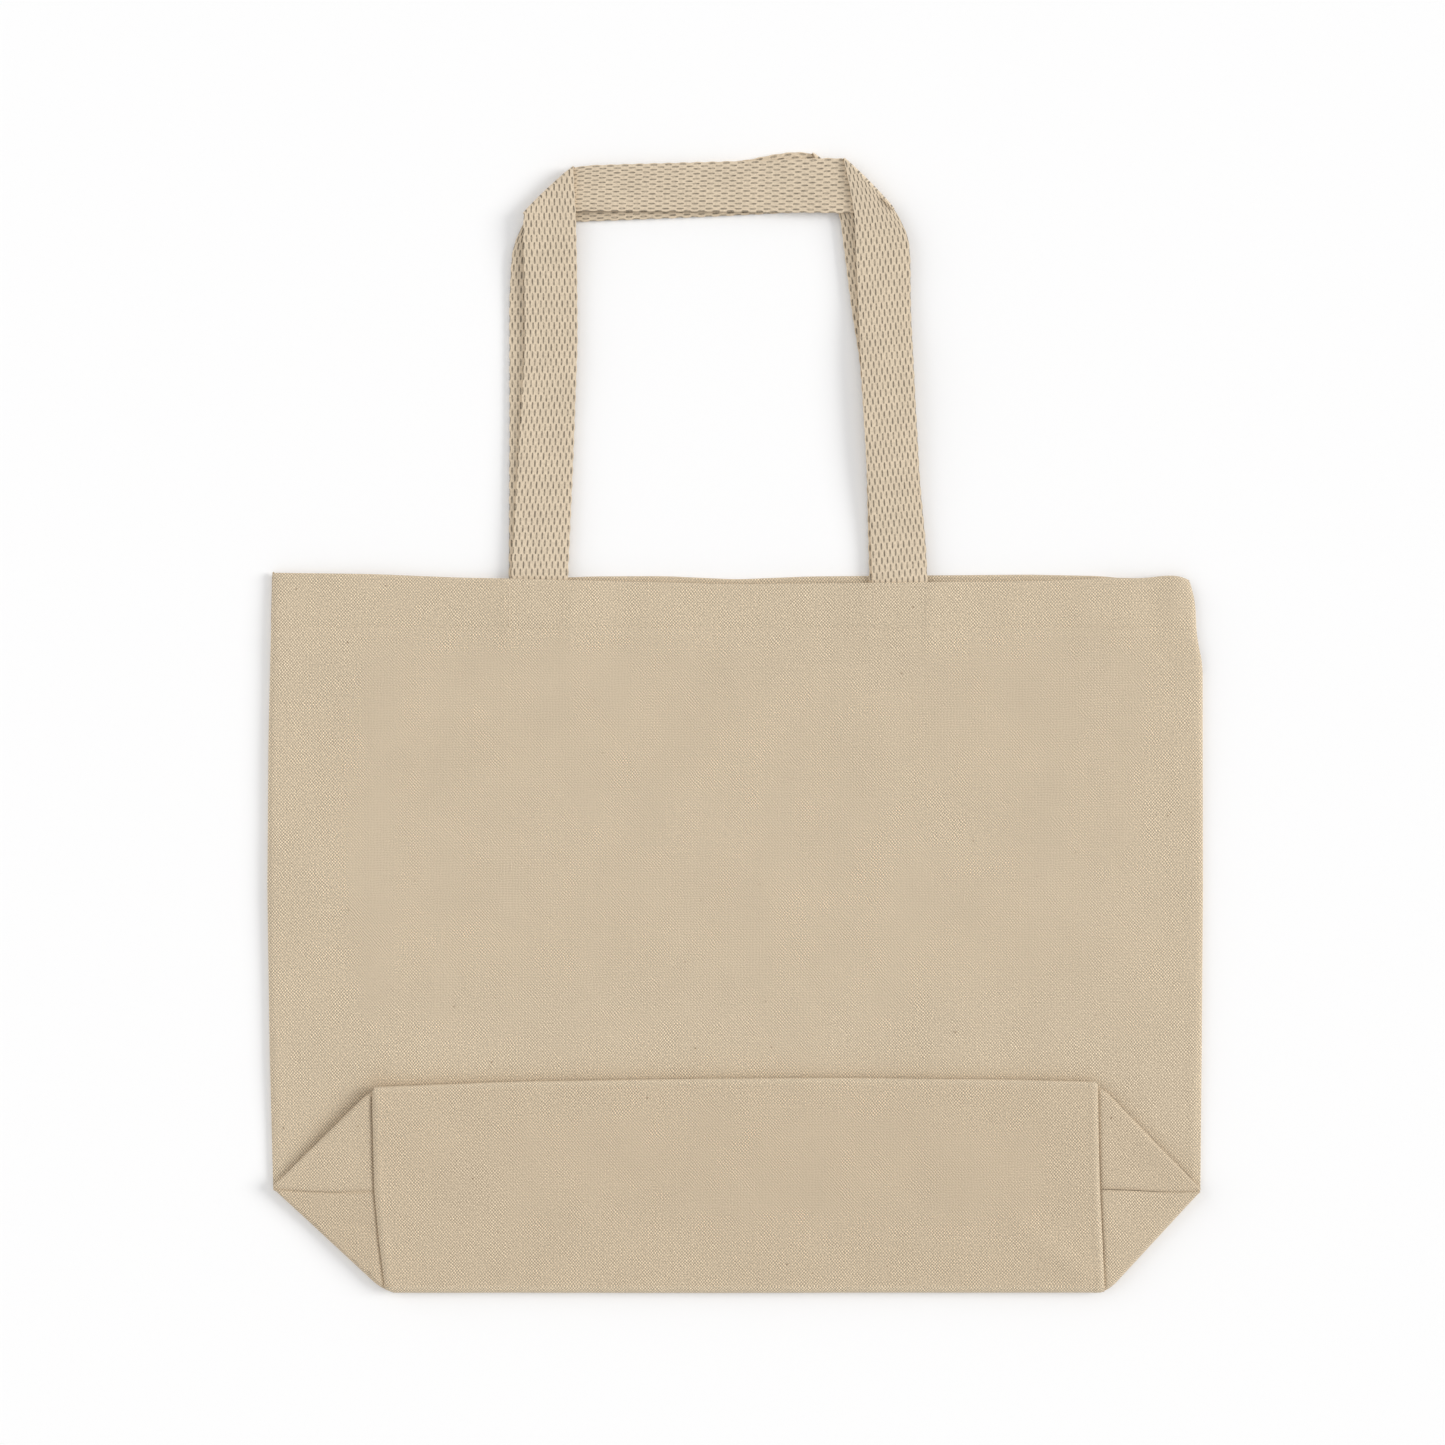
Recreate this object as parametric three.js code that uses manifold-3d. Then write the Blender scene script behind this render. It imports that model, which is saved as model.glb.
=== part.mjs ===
// A large cotton canvas tote bag with a boxed base and two webbing handles, lying on its back and
// pressed flat for storage: the base is folded up over the front, and both handles lie above the mouth.
//
// Units are millimetres. +Z is up, away from the surface that the bag lies on. +Y runs from the base to
// the handles and +X across the bag, to the right as seen from above. The origin is on that surface,
// under the middle of the bag and its handles.
//
// Each panel of the folded body is a thin plate on a level of its own. Where one panel turns into the
// next, the two levels are joined by a fold, and that fold is the axis the panels turn on as the bag opens.

import * as THREE from "three";
import { mergeVertices } from "three/addons/utils/BufferGeometryUtils.js";
import Module from "manifold-3d";

// Driving dimensions of the sewn bag.
const WIDTH = 508; // side seam to side seam, pressed flat
const HEIGHT = 390; // base edge to mouth
const GUSSET = 117; // depth of the boxed base
const HEM_DEPTH = 33;
const CANVAS = 0.7; // thickness of the cloth
const WEBBING = 1.6; // thickness of the handle webbing
const WEBBING_WIDTH = 30;
const HANDLE_RISE = 228; // mouth to the top edge of the handles
const SEAM_ALLOWANCE = 10;
const THREAD = { width: 0.8, height: 0.3, clearance: 0.05 };
const GAP = 0.3; // clearance between neighbouring pieces

// Lengths that follow from them.
const HALF_GUSSET = GUSSET / 2;
const HALF_WIDTH = WIDTH / 2;
const CORE = HALF_WIDTH - HALF_GUSSET; // half the width of the flat-bottomed middle of the bag
const HEM_EDGE = HEIGHT - HEM_DEPTH;

// Levels of the stacked layers, from the surface upwards. A value is the underside of its layer. The
// middle of the front is low over the body and rises over the handle ends, towards the mouth.
const LEVEL = { back: 0 };
LEVEL.backHem = LEVEL.back + CANVAS + GAP;
LEVEL.frontSideHem = LEVEL.backHem + CANVAS + GAP;
LEVEL.front = LEVEL.frontSideHem + CANVAS + GAP;
LEVEL.fold = LEVEL.front + CANVAS + GAP;
LEVEL.cornerSeam = LEVEL.fold + CANVAS + GAP;
LEVEL.base = LEVEL.cornerSeam + CANVAS + GAP;
LEVEL.sideSeam = (LEVEL.back + LEVEL.front + CANVAS) / 2; // half way up the side edge
LEVEL.backEnd = LEVEL.backHem + CANVAS + GAP;
LEVEL.backThread = LEVEL.backEnd + WEBBING + THREAD.clearance;
LEVEL.frontEnd = LEVEL.backThread + THREAD.height + GAP;
LEVEL.frontHem = LEVEL.frontEnd + WEBBING + GAP;
LEVEL.mouth = LEVEL.frontHem + CANVAS + GAP;

// The two handles lie one on the other. A handle is one strip of webbing that turns each top corner
// with a mitre fold, so that its legs lie over its top run. x is measured from the bag's centre line
// and rise from the mouth, both to the middle of the webbing. climb is how far a leg rises, from the
// mouth to the lower end of the mitre, to lie over its run.
const HANDLES = {
  back: {
    left: { foot: -109, top: -105, rise: 209 },
    right: { foot: 88, top: 72, rise: 213 },
    run: LEVEL.backEnd - WEBBING - GAP,
    climb: 0,
  },
  front: {
    left: { foot: -107, top: -102, rise: 212 },
    right: { foot: 90, top: 79, rise: 213 },
    run: LEVEL.frontEnd,
    climb: WEBBING + GAP,
  },
};
const HANDLE_START = 1.5; // distance from the mouth to the free part of a handle
const MITRE_FOLD = 1.6; // width of the turned edge along a mitre

const wasm = await Module();
wasm.setup();

const canvas = new THREE.MeshStandardMaterial({ color: 0xcdbba1, roughness: 0.95, metalness: 0 });
const webbing = new THREE.MeshStandardMaterial({ color: 0xd0bfa5, roughness: 0.9, metalness: 0 });
const thread = new THREE.MeshStandardMaterial({ color: 0xd8c9b0, roughness: 0.8, metalness: 0 });

const bag = new THREE.Group();
bag.position.y = -(HEIGHT + HANDLE_RISE) / 2;

// A solid from a plan outline, [x, y] points, between two heights.
function slab(outline, bottom, thickness, holes = []) {
  const shape = new THREE.Shape(outline.map(([x, y]) => new THREE.Vector2(x, y)));
  for (const hole of holes) {
    shape.holes.push(new THREE.Path(hole.map(([x, y]) => new THREE.Vector2(x, y))));
  }
  const geometry = new THREE.ExtrudeGeometry(shape, { depth: thickness, bevelEnabled: false });
  return geometry.translate(0, 0, bottom);
}

function box(x0, x1, y0, y1, bottom, thickness) {
  const outline = [[x0, y0], [x1, y0], [x1, y1], [x0, y1]];
  return slab(outline, bottom, thickness);
}

function toSolid(geometry) {
  const bare = geometry.clone();
  bare.deleteAttribute("normal");
  bare.deleteAttribute("uv");
  const merged = mergeVertices(bare);
  const vertProperties = merged.attributes.position.array;
  const triVerts = new Uint32Array(merged.index.array);
  return new wasm.Manifold(new wasm.Mesh({ numProp: 3, vertProperties, triVerts }));
}

// One closed body from several that share volume.
function joined(geometries) {
  const solid = geometries.map(toSolid).reduce((whole, next) => whole.add(next));
  const mesh = solid.getMesh();
  const geometry = new THREE.BufferGeometry();
  geometry.setAttribute("position", new THREE.BufferAttribute(mesh.vertProperties, 3));
  geometry.setIndex(new THREE.BufferAttribute(mesh.triVerts, 1));
  geometry.computeVertexNormals();
  return geometry;
}

function add(name, geometry, material) {
  const mesh = new THREE.Mesh(geometry, material);
  mesh.name = name;
  bag.add(mesh);
}

// Mirrors a plan outline to the left or right side of the bag, keeping it anticlockwise.
function onSide(side, outline) {
  const points = outline.map(([x, y]) => [side * x, y]);
  return side < 0 ? points.reverse() : points;
}

const SIDES = [["left", -1], ["right", 1]];
const INNER = CORE + GAP / 2; // inner edge of a side piece
const OUTER = CORE - GAP / 2; // outer edge of a middle piece
const HEM_INNER = INNER + CANVAS + 2 * GAP; // a side hem clears the middle one when the side turns
const LINED = HALF_WIDTH - CANVAS - GAP; // outer edge of what lies inside the side edge

// One side strip: a plate at the given level, and the short wall of the side edge below or above it.
function sideStrip(name, side, low, level, wallBottom, wallTop) {
  const plate = [[INNER, low(INNER)], [HALF_WIDTH, low(HALF_WIDTH)], [HALF_WIDTH, HEIGHT], [INNER, HEIGHT]];
  const edge = HALF_WIDTH - CANVAS;
  const wall = [[edge, low(edge)], [HALF_WIDTH, low(HALF_WIDTH)], [HALF_WIDTH, HEIGHT], [edge, HEIGHT]];
  const parts = [
    slab(onSide(side, plate), level, CANVAS),
    slab(onSide(side, wall), wallBottom, wallTop - wallBottom),
  ];
  add(name, joined(parts), canvas);
}

// The turned-in hem of one side strip.
function sideHem(name, side, level) {
  const outline = [[HEM_INNER, HEM_EDGE], [LINED, HEM_EDGE], [LINED, HEIGHT], [HEM_INNER, HEIGHT]];
  add(name, slab(onSide(side, outline), level, CANVAS), canvas);
}

// The back lies flat on the surface. Its side strips carry the lower half of each side, and are cut
// off at 45 degrees below, along the fold to the gusset corner.
function back() {
  add("back_panel", box(-OUTER, OUTER, 0, HEIGHT, LEVEL.back, CANVAS), canvas);
  add("back_hem", box(-OUTER, OUTER, HEM_EDGE, HEIGHT, LEVEL.backHem, CANVAS), canvas);
  const diagonal = (x) => x - CORE + GAP / 2;
  for (const [word, side] of SIDES) {
    const top = LEVEL.sideSeam - GAP / 2;
    sideStrip(`back_side_${word}`, side, diagonal, LEVEL.back, LEVEL.back, top);
    sideHem(`back_hem_${word}`, side, LEVEL.backHem);
  }
}

// The front lies over the back. It starts at the fold under the base, half a gusset above the base
// edge. Its middle climbs to the mouth over the handle ends, and its side strips stay low.
function front() {
  const start = HALF_GUSSET + GAP / 2;
  const rampEnd = HEM_EDGE - 2;
  const rampStart = rampEnd - 40;
  const profile = new THREE.Shape();
  profile.moveTo(start, LEVEL.front);
  profile.lineTo(rampStart, LEVEL.front);
  profile.lineTo(rampEnd, LEVEL.mouth);
  profile.lineTo(HEIGHT, LEVEL.mouth);
  profile.lineTo(HEIGHT, LEVEL.mouth + CANVAS);
  profile.lineTo(rampEnd, LEVEL.mouth + CANVAS);
  profile.lineTo(rampStart, LEVEL.front + CANVAS);
  profile.lineTo(start, LEVEL.front + CANVAS);
  const middle = new THREE.ExtrudeGeometry(profile, { depth: 2 * OUTER, bevelEnabled: false });
  middle.rotateY(Math.PI / 2).rotateX(Math.PI / 2).translate(-OUTER, 0, 0);
  add("front_panel", middle, canvas);
  add("front_hem", box(-OUTER, OUTER, HEM_EDGE, HEIGHT, LEVEL.frontHem, CANVAS), canvas);
  for (const [word, side] of SIDES) {
    const foot = LEVEL.sideSeam + GAP / 2;
    sideStrip(`front_side_${word}`, side, () => start, LEVEL.front, foot, LEVEL.front + CANVAS);
    sideHem(`front_hem_${word}`, side, LEVEL.frontSideHem);
  }
}

// The strip of the front that is folded back under the base, with its two corners.
function frontFold() {
  const low = HALF_GUSSET + GAP / 2;
  add("front_fold", box(-OUTER, OUTER, low, GUSSET, LEVEL.fold, CANVAS), canvas);
  for (const [word, side] of SIDES) {
    const corner = [[INNER, low], [HALF_WIDTH - GAP, low], [INNER, GUSSET - GAP]];
    add(`front_fold_corner_${word}`, slab(onSide(side, corner), LEVEL.fold, CANVAS), canvas);
  }
}

// The base lies on top, and its two long edges turn down towards the back panel and the folded strip.
// At each end of it lie the two halves of the gusset corner, which the side seam divides: the lower half
// belongs to the back and the upper half to the folded strip, each joined along a fold at 45 degrees.
function base() {
  const backEdge = LEVEL.back + CANVAS + GAP;
  const foldEdge = LEVEL.fold + CANVAS + GAP;
  const top = LEVEL.base + CANVAS;
  const parts = [
    box(-OUTER, OUTER, 0, GUSSET, LEVEL.base, CANVAS),
    box(-OUTER, OUTER, 0, CANVAS, backEdge, top - backEdge),
    box(-OUTER, OUTER, GUSSET - CANVAS, GUSSET, foldEdge, top - foldEdge),
  ];
  add("base_panel", joined(parts), canvas);
  const below = HALF_GUSSET - GAP / 2;
  const above = HALF_GUSSET + GAP / 2;
  const tip = HALF_WIDTH - 2 * GAP;
  for (const [word, side] of SIDES) {
    const lower = [[INNER, GAP], [tip, below], [INNER, below]];
    const upper = [[INNER, above], [tip, above], [INNER, GUSSET - GAP]];
    add(`gusset_lower_${word}`, slab(onSide(side, lower), LEVEL.base, CANVAS), canvas);
    add(`gusset_upper_${word}`, slab(onSide(side, upper), LEVEL.base, CANVAS), canvas);
  }
}

// Seam allowances turned to the inside: one up each side to the hem, and one along each end of the base.
function seams() {
  const inset = CANVAS + 2 * GAP;
  for (const [word, side] of SIDES) {
    const start = HALF_GUSSET + inset;
    const end = HEM_EDGE - 2 * GAP;
    const sideLine = LINED - SEAM_ALLOWANCE;
    const upright = [[sideLine, start], [LINED, start], [LINED, end], [sideLine, end]];
    add(`side_seam_${word}`, slab(onSide(side, upright), LEVEL.backHem, CANVAS), canvas);
    const cornerLine = OUTER - SEAM_ALLOWANCE;
    const top = GUSSET - inset;
    const across = [[cornerLine, inset], [OUTER, inset], [OUTER, top], [cornerLine, top]];
    add(`corner_seam_${word}`, slab(onSide(side, across), LEVEL.cornerSeam, CANVAS), canvas);
  }
}

// The lines of stitching that hold the hems down: inside on the back, outside on the front.
function hemStitching() {
  const low = HEM_EDGE + 1.5;
  const high = low + THREAD.width;
  const inside = LEVEL.backHem + CANVAS + THREAD.clearance;
  const outside = LEVEL.mouth + CANVAS + THREAD.clearance;
  add("back_hem_stitch", box(-OUTER, OUTER, low, high, inside, THREAD.height), thread);
  add("front_hem_stitch", box(-OUTER, OUTER, low, high, outside, THREAD.height), thread);
  for (const [word, side] of SIDES) {
    const line = onSide(side, [[INNER, low], [LINED, low], [LINED, high], [INNER, high]]);
    const level = LEVEL.front + CANVAS + THREAD.clearance;
    add(`front_hem_stitch_${word}`, slab(line, level, THREAD.height), thread);
  }
}

// The sewn end of a handle inside the hem, and the square of stitching that holds it.
function handleEnd(face, word, x, endLevel, threadLevel) {
  const half = WEBBING_WIDTH / 2;
  const low = HEM_EDGE + 3;
  const high = HEIGHT - 1;
  add(`${face}_handle_end_${word}`, box(x - half, x + half, low, high, endLevel, WEBBING), webbing);
  const ring = (inset) => [
    [x - half + inset, low + inset],
    [x + half - inset, low + inset],
    [x + half - inset, high - inset],
    [x - half + inset, high - inset],
  ];
  const margin = 2.5;
  const square = slab(ring(margin), threadLevel, THREAD.height, [ring(margin + THREAD.width)]);
  add(`${face}_handle_stitch_${word}`, square, thread);
}

// The free part of a handle: a top run, and two legs one layer above it. A narrow wall along each
// mitre is the fold that joins a leg to the run.
function handle(name, { left, right, run, climb }) {
  const half = WEBBING_WIDTH / 2;
  const start = HEIGHT + HANDLE_START;
  const legLevel = run + WEBBING + GAP;
  const mitre = ({ top, rise }, out) => ({
    low: [top + out * half, HEIGHT + rise - half],
    high: [top - out * half, HEIGHT + rise + half],
  });
  const leg = ({ foot }, { low, high }, out) => {
    const outline = [[foot - out * half, start], high, low, [foot + out * half, start]];
    const geometry = slab(out < 0 ? outline : outline.reverse(), legLevel, WEBBING);
    const corners = geometry.attributes.position;
    for (let i = 0; i < corners.count; i += 1) {
      const fromMitre = (low[1] - corners.getY(i)) / (low[1] - start);
      corners.setZ(i, corners.getZ(i) - climb * Math.max(0, fromMitre));
    }
    return geometry;
  };
  const fold = ({ low, high }, out) => {
    const inside = [low, high].map(([x, y]) => [x - out * MITRE_FOLD, y - MITRE_FOLD]);
    const outline = [low, high, inside[1], inside[0]];
    return slab(out < 0 ? outline.reverse() : outline, run, legLevel + WEBBING - run);
  };
  const l = mitre(left, -1);
  const r = mitre(right, 1);
  const parts = [
    slab([l.low, r.low, r.high, l.high], run, WEBBING),
    leg(left, l, -1),
    leg(right, r, 1),
    fold(l, -1),
    fold(r, 1),
  ];
  add(name, joined(parts), webbing);
}

back();
front();
frontFold();
base();
seams();
hemStitching();
for (const [word] of SIDES) {
  handleEnd("back", word, HANDLES.back[word].foot, LEVEL.backEnd, LEVEL.backThread);
  const outside = LEVEL.mouth + CANVAS + THREAD.clearance;
  handleEnd("front", word, HANDLES.front[word].foot, LEVEL.frontEnd, outside);
}
handle("back_handle", HANDLES.back);
handle("front_handle", HANDLES.front);

export default bag;
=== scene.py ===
import math

import bpy
import numpy as np
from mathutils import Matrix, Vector


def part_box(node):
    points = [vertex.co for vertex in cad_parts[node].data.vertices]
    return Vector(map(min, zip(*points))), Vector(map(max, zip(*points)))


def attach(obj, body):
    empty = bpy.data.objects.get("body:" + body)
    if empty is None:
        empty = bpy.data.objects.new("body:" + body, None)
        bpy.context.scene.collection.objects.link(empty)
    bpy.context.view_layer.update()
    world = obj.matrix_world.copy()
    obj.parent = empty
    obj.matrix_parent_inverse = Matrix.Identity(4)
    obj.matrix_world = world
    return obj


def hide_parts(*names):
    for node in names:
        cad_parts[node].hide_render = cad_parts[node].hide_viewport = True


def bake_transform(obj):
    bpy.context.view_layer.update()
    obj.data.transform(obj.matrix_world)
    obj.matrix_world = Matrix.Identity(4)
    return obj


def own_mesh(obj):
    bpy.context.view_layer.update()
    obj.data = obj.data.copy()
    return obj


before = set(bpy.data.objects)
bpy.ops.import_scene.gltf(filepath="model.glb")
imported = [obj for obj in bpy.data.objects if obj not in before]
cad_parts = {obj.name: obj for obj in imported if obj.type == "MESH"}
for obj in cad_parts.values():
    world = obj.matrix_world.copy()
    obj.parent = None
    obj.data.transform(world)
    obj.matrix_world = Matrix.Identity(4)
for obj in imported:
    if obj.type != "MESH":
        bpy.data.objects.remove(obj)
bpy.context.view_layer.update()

# A natural canvas tote bag with a boxed base and two webbing handles, folded flat and seen from above.
#
# Lengths below are millimetres. Flat coordinates are (x, y) with y = 0 at the base edge and z = 0 on the
# floor; metres() turns them into the frame's metres. Every piece of cloth is a sheet() built from a grid
# of points on its upper face, and carries a UV map named Cloth that holds the length along its threads.

MM = 0.001
UV_NAME = "Cloth"
TONE_MARK_NAME = "ToneMark"  # canvas: painted shade where below 0 and painted highlight where above 0, as a share of the cloth's colour. Webbing: 1 where its gaps show less


def span(node, axis):
    """A node's lowest and highest value along an axis, in millimetres."""
    low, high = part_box(node)
    return low[axis] / MM, high[axis] / MM


# Driving dimensions, read from the frame.
SHIFT = -span("back_panel", 1)[0]  # from the frame's y to the flat y
HEIGHT = span("back_panel", 1)[1] + SHIFT
CORE = span("back_panel", 0)[1]  # half the width of the middle panels
HALF = span("front_side_right", 0)[1]  # half the width of the flat bag
GUSSET = span("base_panel", 1)[1] + SHIFT
HALF_GUSSET = GUSSET / 2
HEM_EDGE = span("front_hem", 1)[0] + SHIFT
HEM_DEPTH = HEIGHT - HEM_EDGE
STITCH_Y = HEM_EDGE + 4.5  # the line of stitching that holds the hem
PIVOT_X = CORE + 0.15  # the line on which a side strip turns

CLOTH = 0.7  # thickness of the canvas
WEB = 1.6  # thickness of the webbing
WEB_WIDTH = 30.0
THREAD_X = 0.80  # spacing of the canvas's threads
THREAD_Y = 0.90
WEAVE_WIDTH = 3.05  # the webbing's weave repeats across it
WEAVE_LENGTH = 7.9  # and along it

BACK_Z = 0.1  # the back's outer face, just clear of the floor
BACK_HEM_Z = 1.8
Z_SEAM = 2.4  # the side seam, half way between back and front
FRONT_Z = 3.6  # the front's upper face at its foot
STRIP_Z = 4.0  # the strip under the flap, at its crease
CORNER_Z = 5.8  # the corner triangles, before their lift
FLAP_Z = 7.9  # the flap's upper face, before its lift

SIDES = (("left", -1), ("right", 1))


def metres(points):
    """Points of the frame, in metres, from flat coordinates."""
    moved = np.array(points, float)
    moved[..., 1] -= SHIFT
    return moved * MM


def place(x, y, z):
    """The same for a single point."""
    return tuple(metres([x, y, z]))


# ---- curves and noise


def ease(a, b, x):
    """0 below a, 1 above b, and smooth between them."""
    t = np.clip((np.asarray(x, float) - a) / (b - a), 0, 1)
    return t * t * (3 - 2 * t)


def bell(x, centre, width):
    """1 at the centre, and falling smoothly to 0 on both sides."""
    return np.exp(-(((x - centre) / width) ** 2))


def waves(x, y, size, seed, count=10):
    """A smooth random field of about -1 to 1 whose waves are about size long."""
    rng = np.random.default_rng(seed)
    total = np.zeros(np.broadcast(x, y).shape)
    for _ in range(count):
        turn = rng.uniform(0, 2 * math.pi)
        k = 2 * math.pi / (size * rng.uniform(0.7, 1.5))
        phase = rng.uniform(0, 2 * math.pi)
        total += np.sin(k * (x * math.cos(turn) + y * math.sin(turn)) + phase)
    return total * math.sqrt(2 / count) / 1.6


def smooth_line(points):
    """A function through (position, value) points, rounded at each of them."""
    at, value = np.array(points, float).T

    def line(x):
        step = 6.0
        offsets = np.linspace(-step, step, 7)
        return np.mean([np.interp(np.asarray(x, float) + o, at, value) for o in offsets], axis=0)

    return line


def steps(a, b, size):
    """Evenly spaced values from a to b, about size apart."""
    return np.linspace(a, b, max(2, int(round(abs(b - a) / size)) + 1))


# ---- outline of the folded bag

LEFT_EDGE = smooth_line([(50, -252.4), (130, -254.5), (220, -255.8), (300, -255.2), (400, -252.8)])
RIGHT_EDGE = smooth_line([(50, 252.9), (130, 253.7), (220, 254.4), (346, 254.2), (358, 251.0), (380, 250.0),
                          (392, 245.5)])
FRONT_MOUTH = smooth_line(
    [(-260, 392.4), (-200, 391.6), (-150, 389.6), (-120, 389.0), (-60, 387.4), (0, 386.0), (60, 386.6),
     (110, 387.2), (170, 387.8), (205, 389.6), (222, 389.2), (236, 391.2), (245, 389.8), (256, 383.0)]
)
BACK_MOUTH = smooth_line(
    [(-260, 391.6), (-200, 390.6), (-120, 388.6), (-80, 390.4), (-40, 390.6), (0, 388.8), (40, 390.4),
     (110, 391.0), (160, 391.4), (200, 390.6), (222, 388.0), (240, 387.0), (256, 381.0)]
)
FLAP_TOP = smooth_line([(-200, 112.6), (-120, 115.6), (-20, 117.2), (60, 117.6), (150, 116.6),
                        (200, 115.4)])
CORNER_SEAM = {  # x of the seam at each end of the base, by y
    "left": smooth_line([(0, -191.0), (30, -194.5), (58, -197.0), (95, -197.6), (104, -197.8),
                         (113, -197.6)]),
    "right": smooth_line([(0, 200.6), (30, 199.0), (58, 197.6), (90, 196.8), (116, 196.4)]),
}
SIDE_SEAM_Y = {  # y of the seam between the corner triangles, by x
    "left": smooth_line([(-253, 57.2), (-240, 55.6), (-215, 55.2), (-196, 55.8)]),
    "right": smooth_line([(196, 57.2), (215, 56.4), (235, 55.2), (253, 55.8)]),
}
TIP = {"left": (-252.4, 57.4), "right": (252.8, 56.0)}  # the outer point of the folded corner
EDGE = {"left": LEFT_EDGE, "right": RIGHT_EDGE}


# ---- meshes


def normals_of(grid):
    """Unit normals of a grid of points, from its own slopes."""
    along = np.gradient(grid, axis=1)
    up = np.gradient(grid, axis=0)
    normal = np.cross(along, up)
    length = np.linalg.norm(normal, axis=2, keepdims=True)
    return np.where(length > 1e-9, normal / np.maximum(length, 1e-9), [0.0, 0.0, 1.0])


def linked(name, data):
    """A new object in the scene."""
    obj = bpy.data.objects.new(name, data)
    bpy.context.scene.collection.objects.link(obj)
    return obj


def new_object(name, verts, faces, uv, material, tone_mark=None):
    mesh = bpy.data.meshes.new(name)
    mesh.from_pydata(metres(verts).tolist(), [], faces)
    layer = mesh.uv_layers.new(name=UV_NAME)
    corner = np.empty(len(mesh.loops), np.int32)
    mesh.loops.foreach_get("vertex_index", corner)
    layer.data.foreach_set("uv", (uv[corner] * MM).ravel())
    if tone_mark is not None:
        mesh.attributes.new(TONE_MARK_NAME, "FLOAT", "POINT").data.foreach_set("value", tone_mark)
    mesh.polygons.foreach_set("use_smooth", np.ones(len(mesh.polygons), bool))
    mesh.set_sharp_from_angle(angle=math.radians(55))
    mesh.materials.append(material)
    return linked(name, mesh)


def sheet(name, grid, uv, material, thickness=CLOTH, tone_mark=None):
    """A closed sheet of cloth under the grid of points that is its upper face."""
    rows, cols = grid.shape[:2]
    lower = grid - normals_of(grid) * thickness
    verts = np.concatenate([grid.reshape(-1, 3), lower.reshape(-1, 3)])
    both = np.concatenate([uv.reshape(-1, 2), uv.reshape(-1, 2)])
    index = np.arange(rows * cols).reshape(rows, cols)
    a, b = index[:-1, :-1].ravel(), index[:-1, 1:].ravel()
    c, d = index[1:, 1:].ravel(), index[1:, :-1].ravel()
    under = rows * cols
    top = np.stack([a, b, c, d], axis=1)
    bottom = np.stack([d, c, b, a], axis=1) + under
    ring = np.concatenate([index[0, :-1], index[:-1, -1], index[-1, :0:-1], index[:0:-1, 0]])
    after = np.roll(ring, -1)
    rim = np.stack([after, ring, ring + under, after + under], axis=1)
    faces = np.concatenate([top, bottom, rim]).tolist()
    if tone_mark is not None:
        tone_mark = np.tile(np.broadcast_to(tone_mark, grid.shape[:2]).ravel(), 2)
    return new_object(name, verts, faces, both, material, tone_mark)


def row(x, y, z):
    """One row of a grid of points."""
    return np.stack(np.broadcast_arrays(x, y, z), axis=-1).astype(float)


def turn(x, edge, out, reach, z_from, z_to, count=9):
    """Rows that turn a sheet over at y = edge, bulging by reach towards out, from one height to another."""
    rows = []
    for angle in np.linspace(0, math.pi, count):
        y = edge - out * reach * (1 - math.sin(angle))
        z = (z_from + z_to) / 2 + (z_from - z_to) / 2 * math.cos(angle)
        rows.append(row(x, y, z))
    return rows


def blend_along(piece, a, b, slope, start, end):
    """Bakes a piece's placement into its mesh without bending it; a and b are not used, and the points
    worked out from slope, start and end are not used either.
    """
    slope = np.array(slope, float)
    slope = slope / (slope @ slope)
    place(*(slope * start))
    place(*(slope * end))
    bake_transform(piece)


def rolled_uv(grid, start, from_end=False):
    """Thread coordinates of a sheet that turns over: x, and the length along each column."""
    lengths = np.linalg.norm(np.diff(grid, axis=0), axis=2)
    along = np.concatenate([np.zeros((1, grid.shape[1])), np.cumsum(lengths, axis=0)])
    if from_end:
        along = along - along[-1]
    return np.stack([grid[..., 0], start + along], axis=2)


# ---- materials


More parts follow.
